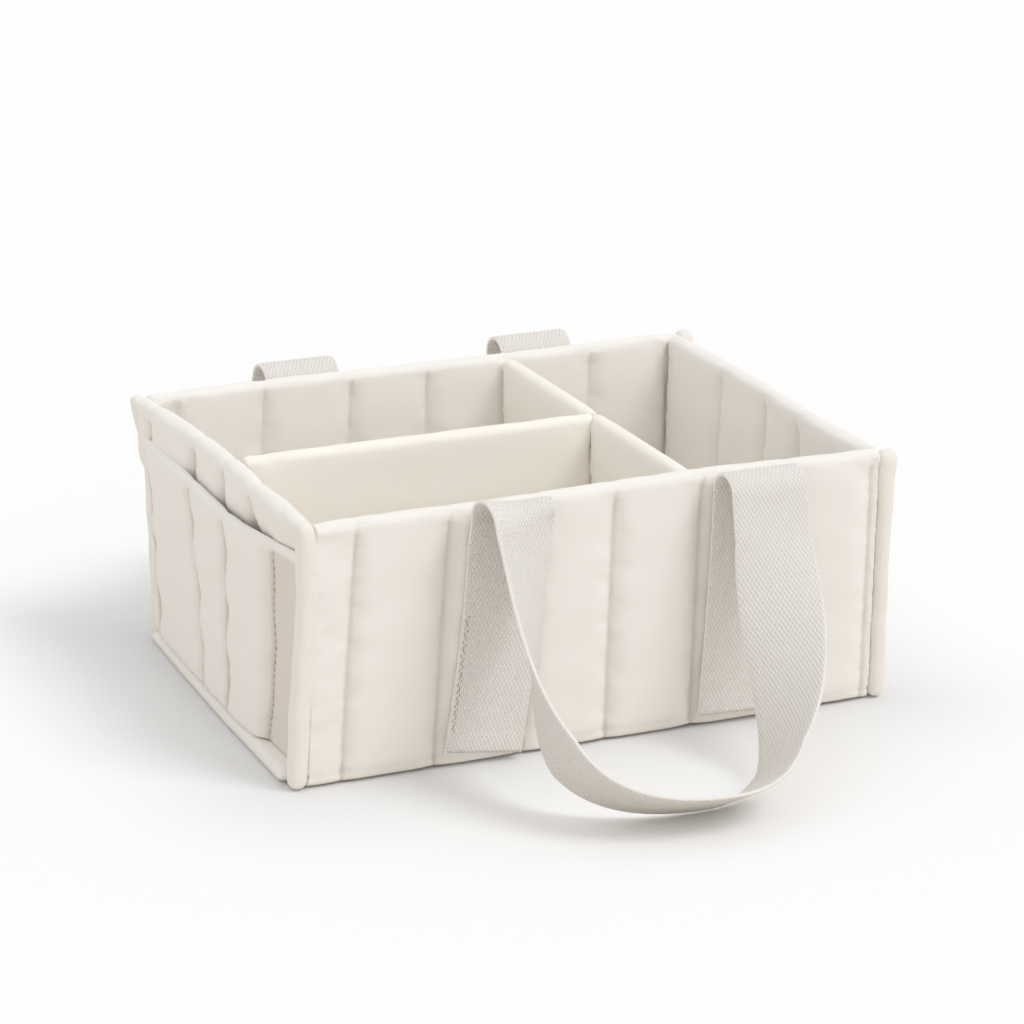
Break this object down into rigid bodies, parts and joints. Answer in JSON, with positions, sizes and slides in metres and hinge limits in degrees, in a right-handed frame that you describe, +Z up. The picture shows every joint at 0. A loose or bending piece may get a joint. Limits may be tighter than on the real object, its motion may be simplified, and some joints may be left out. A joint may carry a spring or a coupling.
{
  "type": "padded fabric storage basket",
  "caption": "Rectangular open basket of padded, vertically quilted fabric with a slip pocket on each end, a lift-out T-shaped divider and two webbing carrying handles.",
  "frame": {"origin": "on the surface the basket stands on, under the centre of its walls", "axes": "+X along the front wall from left to right, +Y from the front wall to the back wall, +Z up"},
  "size_m": [0.3896, 0.5742, 0.1652],
  "materials": {
    "cream_quilted_fabric": "matt ivory cotton over soft wadding, sewn in upright channels",
    "divider_fabric": "smooth matt cream cotton over wadding, a little yellower than the walls",
    "cotton_webbing": "off-white cotton webbing in a coarse visible weave"
  },
  "bodies": {
    "basket": {"base_panel": "cream_quilted_fabric", "floor_pad": "cream_quilted_fabric", "front_wall": "cream_quilted_fabric", "back_wall": "cream_quilted_fabric", "left_end_wall": "cream_quilted_fabric", "right_end_wall": "cream_quilted_fabric", "left_pocket": "cream_quilted_fabric", "right_pocket": "cream_quilted_fabric", "front_left_corner_roll": "cream_quilted_fabric", "front_right_corner_roll": "cream_quilted_fabric", "back_left_corner_roll": "cream_quilted_fabric", "back_right_corner_roll": "cream_quilted_fabric", "front_left_strap_leg": "cotton_webbing", "front_right_strap_leg": "cotton_webbing", "back_left_strap_leg": "cotton_webbing", "back_right_strap_leg": "cotton_webbing"},
    "front_handle": {"front_handle_loop": "cotton_webbing"},
    "back_handle": {"back_handle_loop": "cotton_webbing"},
    "divider": {"divider_back_leaf": "divider_fabric", "divider_seam": "divider_fabric"},
    "front_leaf": {"divider_front_leaf": "divider_fabric"},
    "long_leaf": {"divider_long_leaf": "divider_fabric"}
  },
  "joints": [
    {"name": "front_handle_swing", "type": "hinge", "parent": "basket", "child": "front_handle", "pos_m": [0, -0.14741, 0.16392], "axis": [1, 0, 0], "range_deg": [-175, 0]},
    {"name": "back_handle_swing", "type": "hinge", "parent": "basket", "child": "back_handle", "pos_m": [0, 0.14741, 0.16392], "axis": [-1, 0, 0], "range_deg": [-175, 0]},
    {"name": "divider_lift", "type": "slide", "parent": "basket", "child": "divider", "axis": [0, 0, 1], "range_m": [0, 0.17]},
    {"name": "front_leaf_swing", "type": "hinge", "parent": "divider", "child": "front_leaf", "pos_m": [0.054, 0, 0.08], "axis": [0, 0, 1], "range_deg": [-25, 60]},
    {"name": "long_leaf_swing", "type": "hinge", "parent": "divider", "child": "long_leaf", "pos_m": [0.054, 0, 0.08], "axis": [0, 0, 1], "range_deg": [-25, 25]}
  ]
}
